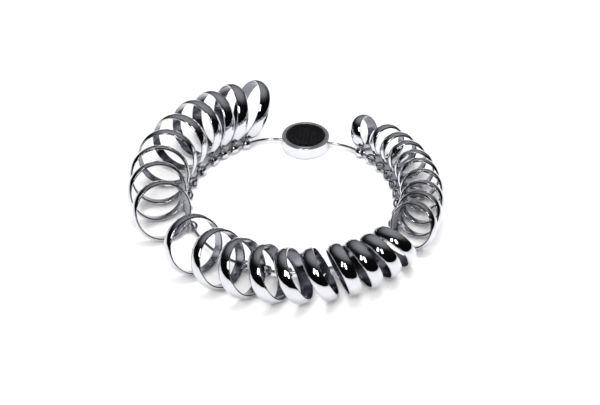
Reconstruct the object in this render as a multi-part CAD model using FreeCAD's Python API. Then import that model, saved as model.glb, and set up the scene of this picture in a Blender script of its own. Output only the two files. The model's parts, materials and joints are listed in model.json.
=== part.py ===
"""Finger gauge set: chromed band gauges threaded on a round wire loop with a disc clasp.

Millimetres. The origin is the centre of the clasp's underside, +Z is up and the loop lies
towards -Y. Every gauge is one piece: a domed band with a small eye that the wire runs through.
"""
import FreeCAD, Part
import math
import os

V = FreeCAD.Vector
X, Y, Z = V(1, 0, 0), V(0, 1, 0), V(0, 0, 1)

# gauges: US finger sizes, inside diameter = SIZE_0 + SIZE_STEP * size
LARGEST, SMALLEST, HALF = 15.0, 1.0, 0.5
SIZE_0, SIZE_STEP = 11.63, 0.8128
BAND_WIDTH = 5.0
BAND_CREST = 1.3        # wall at the middle of the band
BAND_EDGE = 0.6         # wall at the band's edges
EDGE_ROUND = 0.18
EYE_OD, EYE_THROAT, EYE_LENGTH = 4.4, 2.36, 2.8
EYE_MOUTH, EYE_LIP = 3.5, 0.05     # bore at the ends of the eye, and the flat left round it
EYE_REACH = 2.25        # eye centre to the crest of the band
NECK_R, NECK_FOOT_R = 0.75, 1.25

# wire loop: a large arc, two corner arcs and a straight back that passes through the clasp
WIRE_D = 1.3
WIRE_Z = 2.2
LOOP_R, LOOP_BACK, CORNER_R = 42.0, 39.0, 20.0

# how the gauges lie on the loop, counted from the largest, which is number 0
FIRST_AT = 26.5         # along the wire from the centre of the clasp; then (steps, pitch)
PITCHES = ((3, 5.9), (4, 8.2), (1, 11.2), (1, 21.7), (1, 10.0), (2, 7.8), (2, 6.8), (4, 5.8),
           (1, 9.3), (9, 6.25))
LEANS = ((0, 28), (1, 17), (4, 12), (5, 16), (6, 24), (8, 27), (9, 26), (11, 27), (13, 29),
         (14, 27), (15, 17), (18, 20), (19, -27), (22, -28), (26, -18), (27, -19), (28, -25))
TURNS = ((0, -12), (1, -12), (3, 0), (4, 3), (6, 18), (7, 17), (8, 6), (9, -15), (10, -16),
         (14, -4), (16, 0), (18, 4), (19, -9), (21, -12), (23, -10), (24, -16), (27, -17), (28, 12))

# clasp
CASE_D, CASE_H, CASE_WALL = 20.5, 5.6, 0.9
CASE_ROUND = 0.4
RECESS_D, RECESS_DEPTH = 18.0, 0.7
BEZEL_IN_D, BADGE_D = 17.0, 16.8
ROOF_T = 0.8
BASE_T = 0.6
BLOCK_X, BLOCK_Y = 14.0, 11.0
SLEEVE_D, SLEEVE_L = 2.2, 5.5
PLUG_D, PLUG_IN, PLUG_OUT = 2.2, 1.2, 9.6       # the plug's inner and outer end from the middle
GROOVE_X, GROOVE_DEPTH = 3.6, 0.35
BALL_D = 1.4
SPRING_OD, SPRING_WIRE, SPRING_TURNS = 1.25, 0.18, 5
SCREW_D, SCREW_L = 1.5, 1.2
FIT = 0.04              # radial running fit


def cylinder(r, length, at, axis):
    return Part.makeCylinder(r, length, at, axis)


def loop_frame():
    """Corner centre x and the angle, from the big centre, where the corner meets the big arc."""
    drop = LOOP_BACK - CORNER_R
    x = math.sqrt((LOOP_R - CORNER_R) ** 2 - drop ** 2)
    return x, math.atan2(drop, -x)


CORNER_X, CORNER_A = loop_frame()
CORNER_LENGTH = CORNER_R * (CORNER_A - math.pi / 2)
ARC_LENGTH = 2 * LOOP_R * (1.5 * math.pi - CORNER_A)
LOOP_LENGTH = 2 * (CORNER_X + CORNER_LENGTH) + ARC_LENGTH


def on_circle(x, y, r, angle):
    return V(x + r * math.cos(angle), y + r * math.sin(angle), WIRE_Z)


def along_left(s):
    """Point and direction on the left half of the wire, s measured from the clasp's centre."""
    if s < CORNER_X:
        return V(-s, 0, WIRE_Z), V(-1, 0, 0)
    if s < CORNER_X + CORNER_LENGTH:
        a = math.pi / 2 + (s - CORNER_X) / CORNER_R
        return on_circle(-CORNER_X, -CORNER_R, CORNER_R, a), V(-math.sin(a), math.cos(a), 0)
    a = CORNER_A + (s - CORNER_X - CORNER_LENGTH) / LOOP_R
    return on_circle(0, -LOOP_BACK, LOOP_R, a), V(-math.sin(a), math.cos(a), 0)


def along_wire(s):
    if s <= LOOP_LENGTH / 2:
        return along_left(s)
    p, t = along_left(LOOP_LENGTH - s)
    return V(-p.x, p.y, p.z), V(t.x, -t.y, 0)


def stepped(first, steps):
    """Running totals of the pitches."""
    out = [first]
    for count, pitch in steps:
        for _ in range(count):
            out.append(out[-1] + pitch)
    return out


def between(knots, i):
    """Straight-line value at gauge i between the listed gauges."""
    for (i0, v0), (i1, v1) in zip(knots, knots[1:]):
        if i <= i1:
            return v0 + (v1 - v0) * (i - i0) / (i1 - i0)
    return knots[-1][1]


def turned(v, axis, degrees):
    return FreeCAD.Rotation(axis, degrees).multVec(v)


def dome_arc():
    """Centre radius offset from the crest and radius of the band's domed outside."""
    half = BAND_WIDTH / 2
    rise = BAND_CREST - BAND_EDGE
    return (half * half + rise * rise) / (2 * rise)


def band(inner_r, centre):
    """A ring with a straight inside, rounded inner edges and a domed outside, axis along Z."""
    half, e = BAND_WIDTH / 2, EDGE_ROUND
    k = e * (1 - math.sqrt(0.5))

    def p(r, z):
        return centre + V(r, 0, z)

    a, b = p(inner_r, e - half), p(inner_r, half - e)
    c, d = p(inner_r + e, half), p(inner_r + BAND_EDGE, half)
    f, g = p(inner_r + BAND_EDGE, -half), p(inner_r + e, -half)
    edges = [
        Part.makeLine(a, b),
        Part.Arc(b, p(inner_r + k, half - k), c).toShape(),
        Part.makeLine(c, d),
        Part.Arc(d, p(inner_r + BAND_CREST, 0), f).toShape(),
        Part.makeLine(f, g),
        Part.Arc(g, p(inner_r + k, k - half), a).toShape(),
    ]
    return Part.Face(Part.Wire(edges)).revolve(centre, Z, 360)


def eye():
    """A bead turned about Z at the origin, its bore flared both ways so it can tilt on the wire."""
    half, mouth = EYE_LENGTH / 2, EYE_MOUTH / 2
    rim = mouth + EYE_LIP
    edges = [
        Part.Arc(V(rim, 0, half), V(EYE_OD / 2, 0, 0), V(rim, 0, -half)).toShape(),
        Part.makeLine(V(rim, 0, -half), V(mouth, 0, -half)),
        Part.Arc(V(mouth, 0, -half), V(EYE_THROAT / 2, 0, 0), V(mouth, 0, half)).toShape(),
        Part.makeLine(V(mouth, 0, half), V(rim, 0, half)),
    ]
    return Part.Face(Part.Wire(edges)).revolve(V(0, 0, 0), Z, 360)


def gauge_solid(inner_r):
    """Eye at the origin with its bore along Z, the band's centre along +X."""
    centre = V(EYE_REACH + BAND_CREST + inner_r, 0, 0)
    foot = EYE_REACH + 0.7 * BAND_CREST
    start = (EYE_OD + EYE_THROAT) / 4
    neck = Part.makeCone(NECK_R, NECK_FOOT_R, foot - start, V(start, 0, 0), X)
    return band(inner_r, centre).fuse([neck, eye()]).removeSplitter()


def resting(inner_r, s, lean, turn):
    """Placement of a gauge: its eye on the wire, leaning, its band touching the ground."""
    eye_at, along = along_wire(s)
    along = turned(along, Z, turn)
    outward = along.cross(Z)
    along = turned(along, outward, lean)
    rise = outward.cross(along)
    if rise.z < 0:
        rise = rise * -1
    dome = dome_arc()
    crest = inner_r + BAND_CREST
    centre_z = (crest - dome) * rise.z + dome
    swing = math.asin((centre_z - WIRE_Z) / ((crest + EYE_REACH) * rise.z))
    reach = outward * math.cos(swing) + rise * math.sin(swing)
    return FreeCAD.Placement(eye_at, FreeCAD.Rotation(reach, V(), along, "ZXY")), along


def gauges():
    count = int((LARGEST - SMALLEST) / HALF) + 1
    places = stepped(FIRST_AT, PITCHES)
    for i in range(count):
        size = LARGEST - HALF * i
        inner_r = (SIZE_0 + SIZE_STEP * size) / 2
        solid = gauge_solid(inner_r)
        solid.Placement, _ = resting(inner_r, places[i], between(LEANS, i), between(TURNS, i))
        yield "gauge_" + f"{size:.1f}".replace(".", "_"), solid


def loop_wire():
    """Round wire from the crimped end, once round the loop, to the end held in the plug."""
    r = WIRE_D / 2
    left, right = -CORNER_X, CORNER_X
    corner_deg = math.degrees(CORNER_LENGTH / CORNER_R)
    arc_deg = math.degrees(ARC_LENGTH / LOOP_R)

    def bend(section_at, facing, about, degrees):
        disc = Part.Face(Part.Wire([Part.makeCircle(r, section_at, facing)]))
        return disc.revolve(about, Z, degrees)

    inner_end, plug_end = -(BLOCK_X / 2 - SLEEVE_L), PLUG_IN + 1.0
    parts = [cylinder(r, inner_end - left, V(inner_end, 0, WIRE_Z), X * -1)]
    parts.append(bend(V(left, 0, WIRE_Z), X, V(left, -CORNER_R, 0), corner_deg))
    p, t = along_wire(CORNER_X + CORNER_LENGTH)
    parts.append(bend(p, t, V(0, -LOOP_BACK, 0), arc_deg))
    p, t = along_wire(LOOP_LENGTH - CORNER_X - CORNER_LENGTH)
    parts.append(bend(p, t, V(right, -CORNER_R, 0), corner_deg))
    parts.append(cylinder(r, right - plug_end, V(plug_end, 0, WIRE_Z), X))
    return parts[0].fuse(parts[1:]).removeSplitter()


def case():
    r = CASE_D / 2
    outer = cylinder(r, CASE_H, V(), Z)
    rims = [e for e in outer.Edges if e.Closed and abs(e.BoundBox.ZLength) < 1e-6]
    outer = outer.makeFillet(CASE_ROUND, rims)
    cavity_h = CASE_H - RECESS_DEPTH - ROOF_T
    outer = outer.cut(cylinder(r - CASE_WALL, cavity_h, V(), Z))
    outer = outer.cut(cylinder(RECESS_D / 2, RECESS_DEPTH, V(0, 0, CASE_H - RECESS_DEPTH), Z))
    fixed = cylinder(WIRE_D / 2 + FIT, r, V(0, 0, WIRE_Z), X * -1)
    free = cylinder(PLUG_D / 2 + FIT, r, V(0, 0, WIRE_Z), X)
    return outer.cut([fixed, free])


def bezel():
    """Ring pressed into the recess, its top edge eased."""
    at = V(0, 0, CASE_H - RECESS_DEPTH)
    ring = cylinder(RECESS_D / 2 - 0.02, RECESS_DEPTH + 0.1, at, Z)
    ring = ring.cut(cylinder(BEZEL_IN_D / 2, 2, at, Z))
    top = [e for e in ring.Edges if e.Closed and e.BoundBox.ZMin > CASE_H]
    return ring.makeFillet(0.09, top)


def badge():
    return cylinder(BADGE_D / 2, RECESS_DEPTH - 0.35, V(0, 0, CASE_H - RECESS_DEPTH), Z)


def base():
    return cylinder(CASE_D / 2 - CASE_WALL - 0.02, BASE_T, V(), Z)


def block():
    """Inner block with the two end bores, the cross bore of the catch and its mouth."""
    height = CASE_H - RECESS_DEPTH - ROOF_T - BASE_T
    solid = Part.makeBox(BLOCK_X, BLOCK_Y, height, V(-BLOCK_X / 2, -BLOCK_Y / 2, BASE_T))
    solid = solid.cut(cylinder(SLEEVE_D / 2, SLEEVE_L, V(-BLOCK_X / 2, 0, WIRE_Z), X))
    length = BLOCK_X / 2 - PLUG_IN + 0.2
    solid = solid.cut(cylinder(PLUG_D / 2 + FIT, length, V(PLUG_IN - 0.2, 0, WIRE_Z), X))
    return solid.cut(cylinder(BALL_D / 2 + FIT, BLOCK_Y / 2, V(GROOVE_X, 0, WIRE_Z), Y * -1))


def sleeve():
    body = cylinder(SLEEVE_D / 2, SLEEVE_L, V(-BLOCK_X / 2, 0, WIRE_Z), X)
    return body.cut(cylinder(WIRE_D / 2, SLEEVE_L, V(-BLOCK_X / 2, 0, WIRE_Z), X))


def ball_y():
    return -(PLUG_D / 2 - GROOVE_DEPTH + BALL_D / 2)


def plug():
    """Turned end piece: bored for the wire, grooved for the catch ball, its nose eased."""
    r = PLUG_D / 2
    body = cylinder(r, PLUG_OUT - PLUG_IN, V(PLUG_IN, 0, WIRE_Z), X)
    nose = [e for e in body.Edges if e.Closed and abs(e.BoundBox.XMax - PLUG_IN) < 1e-6]
    body = body.makeFillet(0.3, nose)
    ring = Part.makeTorus(-ball_y(), BALL_D / 2 + FIT, V(GROOVE_X, 0, WIRE_Z), X)
    body = body.cut(ring)
    return body.cut(cylinder(WIRE_D / 2, PLUG_OUT, V(PLUG_IN + 1.0, 0, WIRE_Z), X))


def catch_ball():
    return Part.makeSphere(BALL_D / 2, V(GROOVE_X, ball_y(), WIRE_Z))


def catch_screw():
    """Headless screw that closes the cross bore, with a driver slot."""
    face = V(GROOVE_X, -BLOCK_Y / 2, WIRE_Z)
    body = cylinder(SCREW_D / 2 - 0.02, SCREW_L, face, Y)
    return body.cut(Part.makeBox(2, 0.4, 0.3, face - V(1, 0, 0.15)))


def catch_spring():
    r = (SPRING_OD - SPRING_WIRE) / 2
    back = -BLOCK_Y / 2 + SCREW_L + SPRING_WIRE / 2 + 0.02
    front = ball_y() - math.sqrt((BALL_D / 2) ** 2 - r * r) - SPRING_WIRE / 2 - 0.08
    length = front - back
    helix = Part.makeHelix(length / SPRING_TURNS, length, r)
    pipe = Part.Wire(helix.Edges).makePipeShell(
        [Part.Wire([Part.makeCircle(SPRING_WIRE / 2, V(r, 0, 0), Y)])], True, True)
    pipe.Placement = FreeCAD.Placement(V(GROOVE_X, back, WIRE_Z), FreeCAD.Rotation(Z, Y))
    return pipe


def save(name, shape):
    if len(shape.Solids) == 1:
        shape = shape.Solids[0]
    if not shape.isValid() or shape.Volume <= 0:
        raise ValueError(name)
    shape.exportStep("parts/" + name + ".step")


os.makedirs("parts", exist_ok=True)
for name, shape in gauges():
    save(name, shape)
for make in (loop_wire, case, bezel, badge, base, block, sleeve, plug, catch_ball, catch_screw,
             catch_spring):
    name = make.__name__
    save(name if name.startswith(("loop", "catch")) else "clasp_" + name, make())
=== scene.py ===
import bmesh
import bpy
import json
import math
from mathutils import Matrix, Vector

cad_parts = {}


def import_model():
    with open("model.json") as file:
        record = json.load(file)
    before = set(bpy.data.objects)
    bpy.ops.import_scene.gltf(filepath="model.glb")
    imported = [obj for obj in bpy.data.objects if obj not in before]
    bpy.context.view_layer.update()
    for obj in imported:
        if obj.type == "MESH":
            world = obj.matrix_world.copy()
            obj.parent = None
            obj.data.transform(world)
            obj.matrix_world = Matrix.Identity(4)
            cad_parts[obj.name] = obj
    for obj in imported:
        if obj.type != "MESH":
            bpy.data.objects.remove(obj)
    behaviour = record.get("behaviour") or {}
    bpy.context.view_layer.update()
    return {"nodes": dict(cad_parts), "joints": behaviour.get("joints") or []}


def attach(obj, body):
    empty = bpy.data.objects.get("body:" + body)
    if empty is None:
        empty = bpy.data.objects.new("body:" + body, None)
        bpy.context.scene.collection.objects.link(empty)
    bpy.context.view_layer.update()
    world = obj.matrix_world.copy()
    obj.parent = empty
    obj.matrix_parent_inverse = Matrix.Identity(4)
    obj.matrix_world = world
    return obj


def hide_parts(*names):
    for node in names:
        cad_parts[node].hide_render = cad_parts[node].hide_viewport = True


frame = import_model()
NODES = frame["nodes"]
MM = 0.001

# ---- sizes shared with the CAD, in metres ----
BAND_W, CREST, EDGE = 5.0 * MM, 1.3 * MM, 0.6 * MM
EYE_OD, EYE_THROAT, EYE_MOUTH, EYE_L = 4.4 * MM, 2.36 * MM, 3.5 * MM, 2.8 * MM
REACH = 2.25 * MM
SIZE_0, SIZE_STEP = 11.63 * MM, 0.8128 * MM
INNER_EDGE_R, OUTER_EDGE_R = 0.16 * MM, 0.09 * MM   # eased edges of the band
NECK_R, NECK_FLARE = 0.70 * MM, 0.75 * MM
WIRE_R, WIRE_Z = 0.65 * MM, 2.2 * MM
WIRE_IN_CLASP = (-2.2 * MM, -4.0 * MM, -6.0 * MM)   # x of the points inside the clasp
LOOP_R, LOOP_BACK, CORNER_R = 42.0 * MM, 39.0 * MM, 20.0 * MM
CASE_R, CASE_H, CASE_WALL, CASE_EDGE_R = 10.25 * MM, 5.6 * MM, 0.9 * MM, 0.4 * MM
CAVITY_H, CENTRE_R = 4.1 * MM, 2.0 * MM
RECESS_R, RECESS_DEPTH = 9.0 * MM, 0.7 * MM
BEZEL_IN, BEZEL_OUT, BEZEL_PROUD = 8.5 * MM, 8.98 * MM, 0.1 * MM
BADGE_R, BADGE_DOWN, BADGE_BORDER = 8.4 * MM, 0.35 * MM, 7.5 * MM
BAR_PITCH, BAR_WIDTH, BAR_HEIGHT, BAR_FIELD_R = 1.7 * MM, 0.5 * MM, 0.2 * MM, 6.2 * MM


# ---- materials ----
def material(name):
    m = bpy.data.materials.new(name)
    m.use_nodes = True
    nt = m.node_tree
    return m, nt, nt.nodes["Principled BSDF"]


def node(nt, kind, **values):
    n = nt.nodes.new(kind)
    for key, value in values.items():
        if key in n.inputs:
            n.inputs[key].default_value = value
        else:
            setattr(n, key, value)
    return n


def spread(nt, source, low, high):
    """Map a 0..1 texture value to a low..high range."""
    n = node(nt, "ShaderNodeMapRange")
    n.inputs["To Min"].default_value = low
    n.inputs["To Max"].default_value = high
    nt.links.new(source, n.inputs["Value"])
    return n.outputs["Result"]


def metal(name, colour, rough, haze, scratch, grain=(1.0, 1.0, 1.0), tint=0.03, wavy=0.0):
    """Metal with cloudy handling marks, fine scratches, a faint colour change and polish waves."""
    m, nt, bsdf = material(name)
    bsdf.inputs["Metallic"].default_value = 1.0
    bsdf.inputs["IOR"].default_value = 2.4
    where = node(nt, "ShaderNodeTexCoord")
    stretch = node(nt, "ShaderNodeMapping")
    stretch.inputs["Scale"].default_value = grain
    nt.links.new(where.outputs["Object"], stretch.inputs["Vector"])
    cloud = node(nt, "ShaderNodeTexNoise", Scale=160.0, Detail=4.0, Roughness=0.6)
    fine = node(nt, "ShaderNodeTexNoise", Scale=5200.0, Detail=3.0, Roughness=0.7)
    nt.links.new(where.outputs["Object"], cloud.inputs["Vector"])
    nt.links.new(stretch.outputs["Vector"], fine.inputs["Vector"])
    both = node(nt, "ShaderNodeMix", data_type="FLOAT")
    both.inputs["Factor"].default_value = 0.35
    nt.links.new(cloud.outputs["Fac"], both.inputs["A"])
    nt.links.new(fine.outputs["Fac"], both.inputs["B"])
    nt.links.new(spread(nt, both.outputs["Result"], rough, rough + haze), bsdf.inputs["Roughness"])
    ramp = node(nt, "ShaderNodeValToRGB")
    ramp.color_ramp.elements[0].position = 0.3
    ramp.color_ramp.elements[1].position = 0.7
    ramp.color_ramp.elements[0].color = [c * (1 - tint) for c in colour] + [1]
    ramp.color_ramp.elements[1].color = [min(1, c * (1 + tint)) for c in colour] + [1]
    nt.links.new(cloud.outputs["Fac"], ramp.inputs["Fac"])
    nt.links.new(ramp.outputs["Color"], bsdf.inputs["Base Color"])
    bump = node(nt, "ShaderNodeBump", Strength=scratch, Distance=2e-5)
    nt.links.new(fine.outputs["Fac"], bump.inputs["Height"])
    swell = node(nt, "ShaderNodeTexNoise", Scale=420.0, Detail=2.0, Roughness=0.45)
    nt.links.new(where.outputs["Object"], swell.inputs["Vector"])
    waves = node(nt, "ShaderNodeBump", Strength=wavy, Distance=1e-4)
    nt.links.new(swell.outputs["Fac"], waves.inputs["Height"])
    nt.links.new(waves.outputs["Normal"], bump.inputs["Normal"])
    nt.links.new(bump.outputs["Normal"], bsdf.inputs["Normal"])
    return m


def black_gloss():
    m, nt, bsdf = material("badge_black")
    where = node(nt, "ShaderNodeTexCoord")
    speck = node(nt, "ShaderNodeTexNoise", Scale=900.0, Detail=5.0, Roughness=0.65)
    nt.links.new(where.outputs["Object"], speck.inputs["Vector"])
    ramp = node(nt, "ShaderNodeValToRGB")
    ramp.color_ramp.elements[0].color = (0.001, 0.001, 0.0012, 1)
    ramp.color_ramp.elements[1].color = (0.004, 0.004, 0.005, 1)
    nt.links.new(speck.outputs["Fac"], ramp.inputs["Fac"])
    nt.links.new(ramp.outputs["Color"], bsdf.inputs["Base Color"])
    bsdf.inputs["Specular IOR Level"].default_value = 0.15
    nt.links.new(spread(nt, speck.outputs["Fac"], 0.18, 0.34), bsdf.inputs["Roughness"])
    bump = node(nt, "ShaderNodeBump", Strength=0.15, Distance=3e-5)
    nt.links.new(speck.outputs["Fac"], bump.inputs["Height"])
    nt.links.new(bump.outputs["Normal"], bsdf.inputs["Normal"])
    return m


def floor_paper():
    m, nt, bsdf = material("floor_paper")
    where = node(nt, "ShaderNodeTexCoord")
    fibre = node(nt, "ShaderNodeTexNoise", Scale=420.0, Detail=6.0)
    nt.links.new(where.outputs["Object"], fibre.inputs["Vector"])
    ramp = node(nt, "ShaderNodeValToRGB")
    ramp.color_ramp.elements[0].color = (0.925, 0.925, 0.925, 1)
    ramp.color_ramp.elements[1].color = (0.945, 0.945, 0.945, 1)
    nt.links.new(fibre.outputs["Fac"], ramp.inputs["Fac"])
    nt.links.new(ramp.outputs["Color"], bsdf.inputs["Base Color"])
    bsdf.inputs["Roughness"].default_value = 0.85
    bsdf.inputs["Specular IOR Level"].default_value = 0.1
    return m


CHROME = metal("gauge_chrome", (0.55, 0.56, 0.59), 0.03, 0.05, 0.05, wavy=0.5)
# chrome for the band's inner wall: its darker base colour is painted shade, standing in for the dim
# reflection there
INSIDE_PAINTED_SHADE = metal("gauge_inside", (0.27, 0.28, 0.315), 0.10, 0.10, 0.06, wavy=0.15)
DRAWN = metal("wire_steel", (0.48, 0.49, 0.51), 0.10, 0.10, 0.12, (1.0, 1.0, 4.0))
SATIN = metal("case_chrome", (0.58, 0.59, 0.62), 0.12, 0.10, 0.08)
TURNED = metal("bezel_steel", (0.62, 0.62, 0.63), 0.22, 0.12, 0.15)
BRASS = metal("block_brass", (0.75, 0.60, 0.32), 0.2, 0.15, 0.15)
STEEL = metal("small_steel", (0.62, 0.625, 0.64), 0.18, 0.12, 0.12)
BLACK = black_gloss()


# ---- mesh helpers ----
def piece(name, bm, mat, body, replaced):
    mesh = bpy.data.meshes.new(name)
    bm.normal_update()
    bm.to_mesh(mesh)
    bm.free()
    mesh.materials.append(mat)
    mesh.shade_smooth()
    ob = bpy.data.objects.new(name, mesh)
    bpy.context.scene.collection.objects.link(ob)
    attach(ob, body)
    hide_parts(*replaced)
    return ob


def arc(cx, cy, r, a0, a1, n):
    return [(cx + r * math.cos(math.radians(a0 + (a1 - a0) * i / n)),
             cy + r * math.sin(math.radians(a0 + (a1 - a0) * i / n))) for i in range(n + 1)]


def lathe(bm, profile, place, steps, closed=True):
    """Turn a (radius, height) profile about the Z axis of `place`."""
    rings = []
    for k in range(steps):
        a = 2 * math.pi * k / steps
        ca, sa = math.cos(a), math.sin(a)
        rings.append([bm.verts.new(place @ Vector((r * ca, r * sa, z))) for r, z in profile])
    n = len(profile)
    for k in range(steps):
        here, there = rings[k], rings[(k + 1) % steps]
        for i in range(n if closed else n - 1):
            j = (i + 1) % n
            bm.faces.new((here[i], there[i], there[j], here[j]))
    if not closed:
        bm.faces.new([ring[0] for ring in reversed(rings)])
        bm.faces.new([ring[-1] for ring in rings])


def smooth_profile(points, longest):
    """Split every long straight run so that shading stays flat next to the rounded corners."""
    out = []
    for i, p in enumerate(points):
        q = points[(i + 1) % len(points)]
        out.append(p)
        if math.dist(p, q) > longest:
            for f in (0.06, 0.94):
                out.append((p[0] + (q[0] - p[0]) * f, p[1] + (q[1] - p[1]) * f))
    return out


# ---- gauges ----
def frame_of(node_name, joint):
    """Axes of a gauge from its joint and its solid: eye at the origin, bore on Z, band on +X."""
    mesh = NODES[node_name].data
    total, middle = 0.0, Vector()
    for poly in mesh.polygons:
        total += poly.area
        middle += poly.center * poly.area
    middle /= total
    eye, axis = Vector(joint["pos_m"]), Vector(joint["axis"]).normalized()
    out = middle - eye
    out -= axis * out.dot(axis)
    out.normalize()
    side = axis.cross(out)
    rot = Matrix((out, side, axis)).transposed().to_4x4()
    return Matrix.Translation(eye) @ rot


def band_profile(r):
    half, e, lip = BAND_W / 2, INNER_EDGE_R, OUTER_EDGE_R
    rise = CREST - EDGE
    dome_r = (half * half + rise * rise) / (2 * rise)
    span = math.degrees(math.asin(half / dome_r))
    pts = arc(r + e, e - half, e, 180, 270, 4)
    pts += [(r + EDGE - lip, -half), (r + EDGE - lip * 0.3, -half + lip * 0.15)]
    dome = arc(r + CREST - dome_r, 0, dome_r, -span, span, 18)
    pts += dome[1:-1]
    pts += [(r + EDGE - lip * 0.3, half - lip * 0.15), (r + EDGE - lip, half)]
    pts += arc(r + e, half - e, e, 90, 180, 4)
    return smooth_profile(pts, 0.8 * MM)


def add_eye(bm, place):
    """Turned bead: a round outside and a bore that flares to both ends."""
    half, mouth = EYE_L / 2, EYE_MOUTH / 2
    rim = mouth + 0.05 * MM
    bulge, flare = EYE_OD / 2 - rim, mouth - EYE_THROAT / 2
    big, small = (half ** 2 + bulge ** 2) / (2 * bulge), (half ** 2 + flare ** 2) / (2 * flare)
    wide, tight = math.degrees(math.asin(half / big)), math.degrees(math.asin(half / small))
    prof = arc(EYE_OD / 2 - big, 0, big, -wide, wide, 16)
    prof += arc(EYE_THROAT / 2 + small, 0, small, 180 - tight, 180 + tight, 16)
    lathe(bm, prof, place, 48)


def add_neck(bm, place, foot):
    """Solder joint between the eye and the band: narrow at the eye, flared at the band."""
    start = (EYE_OD + EYE_THROAT) / 4 + 0.1 * MM
    turn = Matrix(((0, 0, 1), (0, 1, 0), (-1, 0, 0))).to_4x4()
    along = place @ Matrix.Translation((start, 0, 0)) @ turn
    length = foot - start
    prof = [(NECK_R + NECK_FLARE * t ** 3, length * t) for t in [i / 9 for i in range(10)]]
    lathe(bm, prof, along, 36, closed=False)


def gauge(joint):
    """One gauge as a band, its eye and the neck between them; the band's inner wall is rougher, and its
    darker colour is painted shade.
    """
    node_name = joint["name"].replace("_swing", "")
    whole, half = node_name.split("_")[1:]
    r = (SIZE_0 + SIZE_STEP * float(whole + "." + half)) / 2
    place = frame_of(node_name, joint)
    bm = bmesh.new()
    centre = place @ Matrix.Translation((REACH + CREST + r, 0, 0))
    lathe(bm, band_profile(r), centre, 176)
    # faces of the band's inner wall take the darker chrome, which paints shade on them
    to_band = centre.inverted()
    for face in bm.faces:
        if all((to_band @ v.co).xy.length < r + 0.02 * MM for v in face.verts):
            face.material_index = 1
    add_eye(bm, place)
    add_neck(bm, place, REACH + 0.75 * CREST)
    ring = piece(node_name + "_ring", bm, CHROME, joint["child"], [node_name])
    ring.data.materials.append(INSIDE_PAINTED_SHADE)


for j in frame["joints"]:
    if j["name"].startswith("gauge"):
        gauge(j)


# ---- wire loop ----
def loop_points():
    """Points of the wire's centre line from one end in the clasp, round the loop, to the other."""
    drop = LOOP_BACK - CORNER_R
    cx = math.sqrt((LOOP_R - CORNER_R) ** 2 - drop ** 2)
    turn = math.atan2(drop, -cx)
    left = [Vector((x, 0, WIRE_Z)) for x in WIRE_IN_CLASP]
    steps = 14
    for i in range(steps):
        a = math.pi / 2 + (turn - math.pi / 2) * i / steps
        x, y = -cx + CORNER_R * math.cos(a), -CORNER_R + CORNER_R * math.sin(a)
        left.append(Vector((x, y, WIRE_Z)))
    steps = 90
    for i in range(steps + 1):
        a = turn + (1.5 * math.pi - turn) * i / steps
        left.append(Vector((LOOP_R * math.cos(a), -LOOP_BACK + LOOP_R * math.sin(a), WIRE_Z)))
    return left + [Vector((-p.x, p.y, p.z)) for p in reversed(left[:-1])]


def tube(bm, points, radius, sides):
    """Round tube along the points, which stay level, with flat ends."""
    rings = []
    for i, p in enumerate(points):
        t = (points[min(i + 1, len(points) - 1)] - points[max(i - 1, 0)]).normalized()
        side = t.cross(Vector((0, 0, 1))).normalized()
        up = side.cross(t)
        rings.append([bm.verts.new(p + (side * math.cos(a) + up * math.sin(a)) * radius)
                      for a in [2 * math.pi * k / sides for k in range(sides)]])
    for here, there in zip(rings, rings[1:]):
        for k in range(sides):
            m = (k + 1) % sides
            bm.faces.new((here[k], here[m], there[m], there[k]))
    bm.faces.new(rings[0])
    bm.faces.new(list(reversed(rings[-1])))


def loop_wire():
    bm = bmesh.new()
    tube(bm, loop_points(), WIRE_R, 28)
    bmesh.ops.recalc_face_normals(bm, faces=bm.faces)
    piece("loop_wire_drawn", bm, DRAWN, "loop", ["loop_wire"])


loop_wire()


# ---- clasp ----
def case_profile():
    recess_z = CASE_H - RECESS_DEPTH
    lip = 0.08 * MM
    side, e = CASE_R - CASE_EDGE_R, CASE_EDGE_R
    pts = [(RECESS_R, recess_z), (RECESS_R, CASE_H - lip), (RECESS_R + lip, CASE_H)]
    pts += list(reversed(arc(side, CASE_H - e, e, 0, 90, 6)))
    pts += list(reversed(arc(side, e, e, -90, 0, 6)))
    pts += [(CASE_R - CASE_WALL, 0.0), (CASE_R - CASE_WALL, CAVITY_H)]
    pts += [(CENTRE_R, CAVITY_H), (CENTRE_R, recess_z)]
    return smooth_profile(pts, 1.0 * MM)


def bezel_profile():
    low, top = CASE_H - RECESS_DEPTH, CASE_H + BEZEL_PROUD
    ease, near = 0.09 * MM, 0.03 * MM
    return [(BEZEL_IN, low), (BEZEL_OUT, low), (BEZEL_OUT, top - ease), (BEZEL_OUT - near, top - near),
            (BEZEL_OUT - ease, top), (BEZEL_IN + ease, top), (BEZEL_IN + near, top - near),
            (BEZEL_IN, top - ease)]


def turned(name, profile, mat, replaced):
    bm = bmesh.new()
    lathe(bm, profile, Matrix.Identity(4), 160)
    bmesh.ops.recalc_face_normals(bm, faces=bm.faces)
    piece(name, bm, mat, "loop", [replaced])


def add_bar(bm, x, length, z):
    made = bmesh.ops.create_cube(bm, size=1.0)
    grow = Matrix.Diagonal((BAR_WIDTH, length, BAR_HEIGHT, 1))
    bmesh.ops.transform(bm, matrix=Matrix.Translation((x, 0, z)) @ grow, verts=made["verts"])
    edges = {e for v in made["verts"] for e in v.link_edges}
    bmesh.ops.bevel(bm, geom=list(edges), offset=0.05 * MM, segments=2, affect="EDGES")


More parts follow.
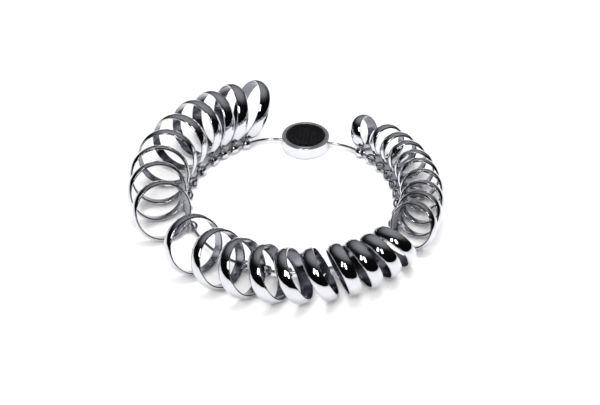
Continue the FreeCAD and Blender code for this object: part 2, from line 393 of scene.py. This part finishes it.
def badge_mesh():
    """Black disc, slightly dished, with a plain raised border and a row of plain raised bars."""
    bm = bmesh.new()
    top, low = CASE_H - BADGE_DOWN, CASE_H - RECESS_DEPTH
    ease, dish = 0.05 * MM, 0.12 * MM
    prof = [(BADGE_R, low), (BADGE_R, top - ease), (BADGE_R - ease, top), (BADGE_BORDER, top),
            (BADGE_BORDER - 0.1 * MM, top - dish), (4 * MM, top - 0.14 * MM), (0.05 * MM, top - 0.15 * MM)]
    lathe(bm, prof, Matrix.Identity(4), 128, closed=False)
    for k in range(-3, 4):
        x = k * BAR_PITCH
        share = 0.75 if k % 2 else 0.5
        add_bar(bm, x, 2 * share * math.sqrt(BAR_FIELD_R ** 2 - x * x), top - dish)
    return bm


turned("clasp_case_turned", case_profile(), SATIN, "clasp_case")
turned("clasp_bezel_turned", bezel_profile(), TURNED, "clasp_bezel")
piece("clasp_badge_disc", badge_mesh(), BLACK, "loop", ["clasp_badge"])

# pieces hidden in the clasp keep their solids and only take a material
INNER = {"clasp_base": SATIN, "clasp_block": BRASS, "clasp_sleeve": STEEL, "clasp_plug": STEEL,
         "catch_ball": STEEL, "catch_screw": STEEL, "catch_spring": STEEL}
for name, mat in INNER.items():
    NODES[name].data.materials.clear()
    NODES[name].data.materials.append(mat)


# ---- floor, lights and camera ----
FLOOR_HALF, FLOOR_Z = 6.0, -0.00002
SKY_AXIS = (0.0, 0.6, 0.8)      # towards the sky's palest part; it darkens to near black away from it
SKY = ((0.0, 0.004), (0.50, 0.006), (0.66, 0.06), (0.78, 0.22), (1.0, 0.42))
LOOK_AT = Vector((2.90, -38.33, 0)) * MM
ELEVATION, TURN, DISTANCE = math.radians(40.14), math.radians(7.94), 0.3620
SENSOR_MM, LENS_MM = 36.0, 54.054


def add_floor():
    bm = bmesh.new()
    bmesh.ops.create_grid(bm, x_segments=8, y_segments=8, size=FLOOR_HALF)
    mesh = bpy.data.meshes.new("floor")
    bm.to_mesh(mesh)
    bm.free()
    mesh.materials.append(floor_paper())
    ob = bpy.data.objects.new("floor", mesh)
    ob.location = (0, 0, FLOOR_Z)
    bpy.context.scene.collection.objects.link(ob)


def aim(ob, target):
    ob.rotation_euler = (Vector(target) - ob.location).to_track_quat("-Z", "Y").to_euler()


def area(name, place, target, size, power, colour=(1, 1, 1), seen=True):
    data = bpy.data.lights.new(name, "AREA")
    data.shape = "RECTANGLE"
    data.size, data.size_y = size
    data.energy = power
    data.color = colour
    ob = bpy.data.objects.new(name, data)
    ob.location = place
    aim(ob, target)
    ob.visible_glossy = seen
    bpy.context.scene.collection.objects.link(ob)


def world():
    sky = bpy.data.worlds.new("studio")
    bpy.context.scene.world = sky
    sky.use_nodes = True
    nt = sky.node_tree
    where = node(nt, "ShaderNodeTexCoord")
    along = node(nt, "ShaderNodeVectorMath", operation="DOT_PRODUCT")
    along.inputs[1].default_value = SKY_AXIS
    nt.links.new(where.outputs["Generated"], along.inputs[0])
    ramp = node(nt, "ShaderNodeValToRGB")
    nt.links.new(along.outputs["Value"], ramp.inputs["Fac"])
    for position, _ in SKY[1:-1]:
        ramp.color_ramp.elements.new(position)
    for element, (_, level) in zip(ramp.color_ramp.elements, SKY):
        element.color = (level, level, level * 1.02, 1)
    nt.links.new(ramp.outputs["Color"], nt.nodes["Background"].inputs["Color"])


def add_camera():
    camera = bpy.data.objects.new("camera", bpy.data.cameras.new("camera"))
    bpy.context.scene.collection.objects.link(camera)
    camera.data.sensor_width = SENSOR_MM
    camera.data.lens = LENS_MM
    camera.data.clip_start = 0.01
    level = math.cos(ELEVATION)
    away = Vector((math.sin(TURN) * level, -math.cos(TURN) * level, math.sin(ELEVATION)))
    camera.location = LOOK_AT + DISTANCE * away
    aim(camera, LOOK_AT)
    bpy.context.scene.camera = camera


add_floor()
world()
area("fill_top", (0.0, 0.0, 2.6), (0.0, 0.0, 0.0), (9.0, 9.0), 185.0, seen=False)
area("fill_near", (0.01, -0.02, 0.26), LOOK_AT, (0.16, 0.16), 0.55, seen=False)
area("key_left", (-0.16, -0.50, 0.62), LOOK_AT, (0.10, 0.30), 1.6, (1.0, 0.97, 0.97))
area("key_right", (0.12, -0.52, 0.62), LOOK_AT, (0.10, 0.30), 1.6, (1.0, 0.97, 0.97))
add_camera()
bpy.context.scene.view_settings.view_transform = "Standard"
